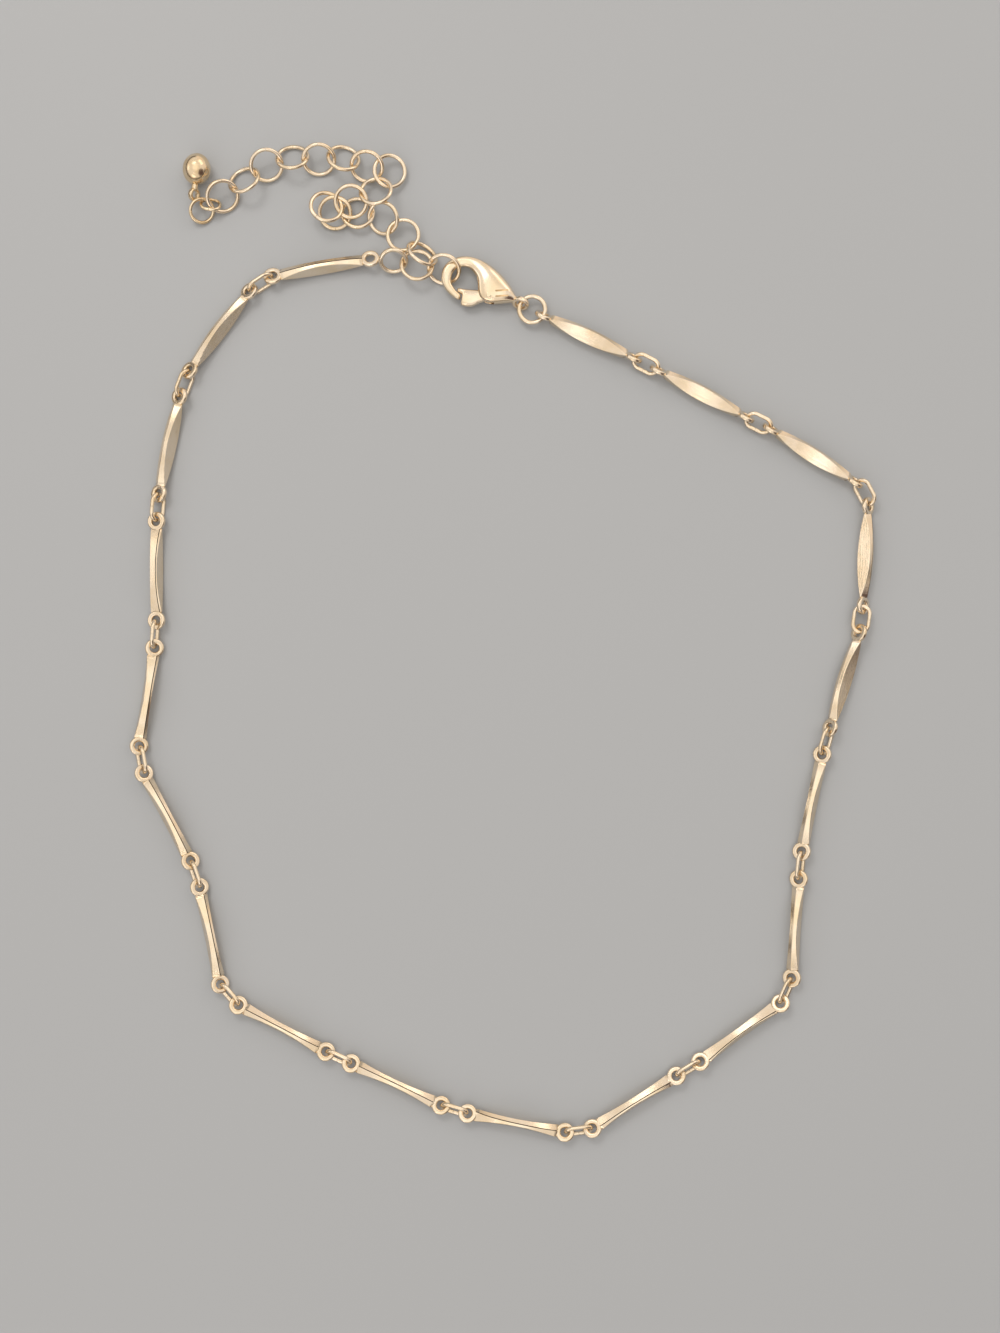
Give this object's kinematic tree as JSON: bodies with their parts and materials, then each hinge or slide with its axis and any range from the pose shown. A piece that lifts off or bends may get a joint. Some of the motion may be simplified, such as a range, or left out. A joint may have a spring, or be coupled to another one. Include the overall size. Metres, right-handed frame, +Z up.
{
  "type": "choker necklace",
  "caption": "Choker of faceted gold-coloured bar links on small rings, with a lobster clasp, extender chain and drop.",
  "frame": {"origin": "on the surface that the necklace lies on, under the middle of its bounding box", "axes": "+Z up from the surface; +Y along the longer way of the laid-out loop, towards the clasp; +X to the right with the clasp at the top"},
  "size_m": [0.094, 0.1258, 0.0035],
  "materials": {
    "pale_gold": "polished pale gold plating",
    "warm_gold": "polished warm gold plating"
  },
  "bodies": {
    "necklace": {"bar_01": "pale_gold", "bar_02": "pale_gold", "bar_03": "pale_gold", "bar_04": "pale_gold", "bar_05": "pale_gold", "bar_06": "pale_gold", "bar_07": "pale_gold", "bar_08": "pale_gold", "bar_09": "pale_gold", "bar_10": "pale_gold", "bar_11": "pale_gold", "bar_12": "pale_gold", "bar_13": "pale_gold", "bar_14": "pale_gold", "bar_15": "pale_gold", "bar_16": "pale_gold", "bar_17": "pale_gold", "bar_18": "pale_gold", "bar_19": "pale_gold", "ring_01": "pale_gold", "ring_02": "pale_gold", "ring_03": "pale_gold", "ring_04": "pale_gold", "ring_05": "pale_gold", "ring_06": "pale_gold", "ring_07": "pale_gold", "ring_08": "pale_gold", "ring_09": "pale_gold", "ring_10": "pale_gold", "ring_11": "pale_gold", "ring_12": "pale_gold", "ring_13": "pale_gold", "ring_14": "pale_gold", "ring_15": "pale_gold", "ring_16": "pale_gold", "ring_17": "pale_gold", "ring_18": "pale_gold", "clasp_body": "pale_gold", "clasp_ring": "pale_gold", "end_ring": "pale_gold", "extender_link_01": "pale_gold", "extender_link_02": "pale_gold", "extender_link_03": "pale_gold", "extender_link_04": "pale_gold", "extender_link_05": "pale_gold", "extender_link_06": "pale_gold", "extender_link_07": "pale_gold", "extender_link_08": "pale_gold", "extender_link_09": "pale_gold", "extender_link_10": "pale_gold", "extender_link_11": "pale_gold", "extender_link_12": "pale_gold", "extender_link_13": "pale_gold", "extender_link_14": "pale_gold", "extender_link_15": "pale_gold", "extender_fold": "pale_gold", "drop_link": "warm_gold", "drop_ring": "warm_gold", "drop": "warm_gold"},
    "lever": {"clasp_lever": "pale_gold"}
  },
  "joints": [
    {"name": "lever_hinge", "type": "hinge", "parent": "necklace", "child": "lever", "pos_m": [-0.00175, 0.04367, 0.00113], "axis": [0, 0, -1], "range_deg": [0, 25], "stiffness_Nm_per_rad": 0.004, "springref_deg": -11.46}
  ]
}
